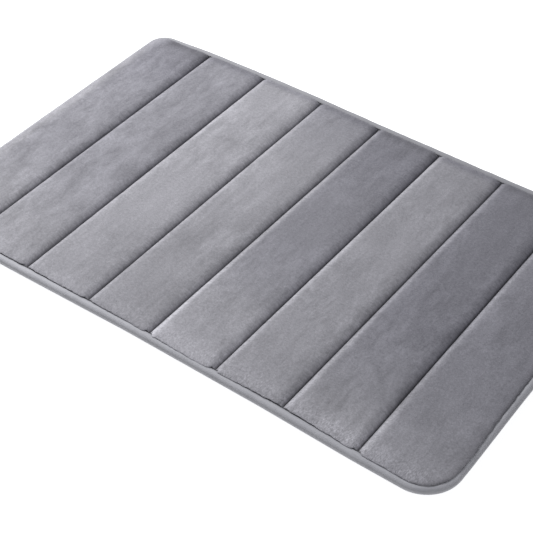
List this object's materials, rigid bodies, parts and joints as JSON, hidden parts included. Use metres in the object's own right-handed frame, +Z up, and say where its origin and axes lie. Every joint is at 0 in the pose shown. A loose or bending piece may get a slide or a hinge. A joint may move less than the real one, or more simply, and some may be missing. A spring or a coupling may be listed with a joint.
{
  "type": "bath mat",
  "caption": "Flat rectangular bath mat of velvet over memory foam, sewn in straight channels, with round corners, a bound edge and a dotted non-slip underside.",
  "frame": {"origin": "middle of the underside, on the floor that the mat lies on", "axes": "+X along the mat's length, from the narrower end panel to the wider one; +Y across the mat, along the channel seams; +Z up, out of the velvet side"},
  "size_m": [0.7, 0.45, 0.0116],
  "materials": {
    "velvet": "short brushed polyester pile, soft sheen",
    "tape": "smooth brushed knit tape, faint satin",
    "foam": "matt open-cell memory foam",
    "lining": "matt white non-woven",
    "backing": "matt knitted base cloth",
    "dots": "soft translucent plastic, satin",
    "thread": "twisted polyester sewing thread"
  },
  "bodies": {
    "root": {"velvet_cover": "velvet", "foam_core": "foam", "foam_lining": "lining", "backing_cloth": "backing", "grip_dots": "dots", "edge_binding": "tape", "binding_needle_thread": "thread", "binding_bobbin_thread": "thread", "channel_needle_thread_1": "thread", "channel_needle_thread_2": "thread", "channel_needle_thread_3": "thread", "channel_needle_thread_4": "thread", "channel_needle_thread_5": "thread", "channel_needle_thread_6": "thread", "channel_needle_thread_7": "thread", "channel_bobbin_thread_1": "thread", "channel_bobbin_thread_2": "thread", "channel_bobbin_thread_3": "thread", "channel_bobbin_thread_4": "thread", "channel_bobbin_thread_5": "thread", "channel_bobbin_thread_6": "thread", "channel_bobbin_thread_7": "thread"}
  },
  "joints": []
}
